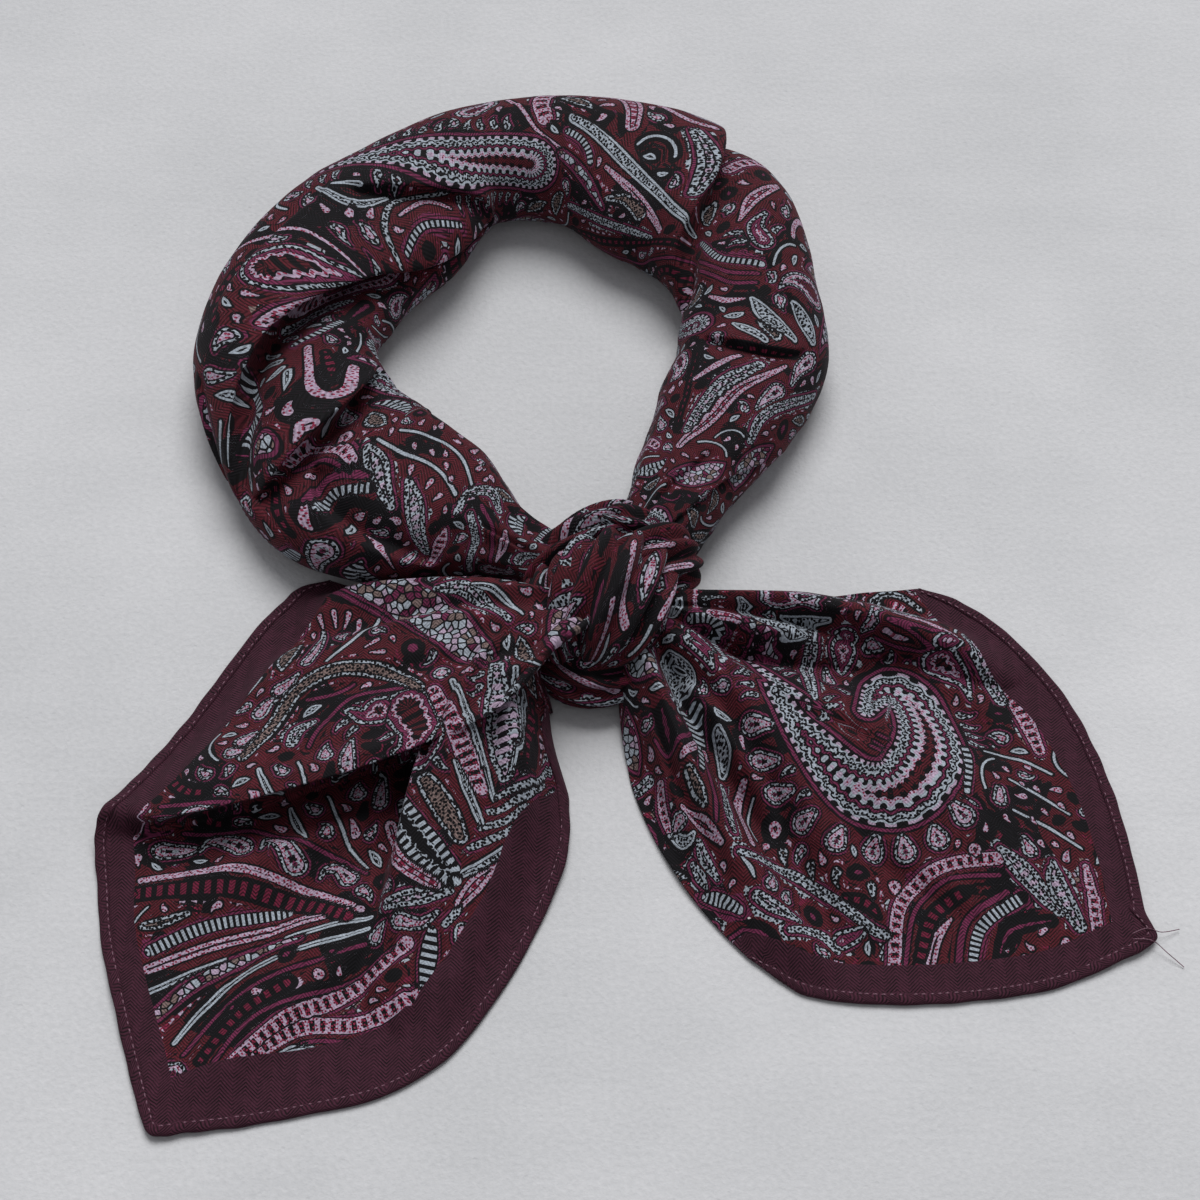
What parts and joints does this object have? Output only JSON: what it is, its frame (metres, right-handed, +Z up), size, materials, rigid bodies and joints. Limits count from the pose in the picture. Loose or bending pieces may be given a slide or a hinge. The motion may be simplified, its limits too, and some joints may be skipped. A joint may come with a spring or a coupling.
{
  "type": "knotted neck scarf",
  "caption": "Square paisley scarf rolled into a neck loop, tied in front in a simple knot, with both corner ends fanned out flat.",
  "frame": {"origin": "middle of the footprint, on the surface that the scarf lies on", "axes": "+Z up from the surface; +Y from the knot towards the back of the neck loop; -Y the way the corner ends hang; -X the side of the longer end"},
  "size_m": [0.2804, 0.3431, 0.0339],
  "materials": {
    "printed_twill": "matt printed herringbone twill",
    "plum_twill": "matt plum herringbone twill, turned and stitched"
  },
  "bodies": {
    "root": {"neck_band": "printed_twill", "knot": "printed_twill", "left_tail": "printed_twill", "right_tail": "printed_twill", "left_hem": "plum_twill", "right_hem": "plum_twill"}
  },
  "joints": []
}
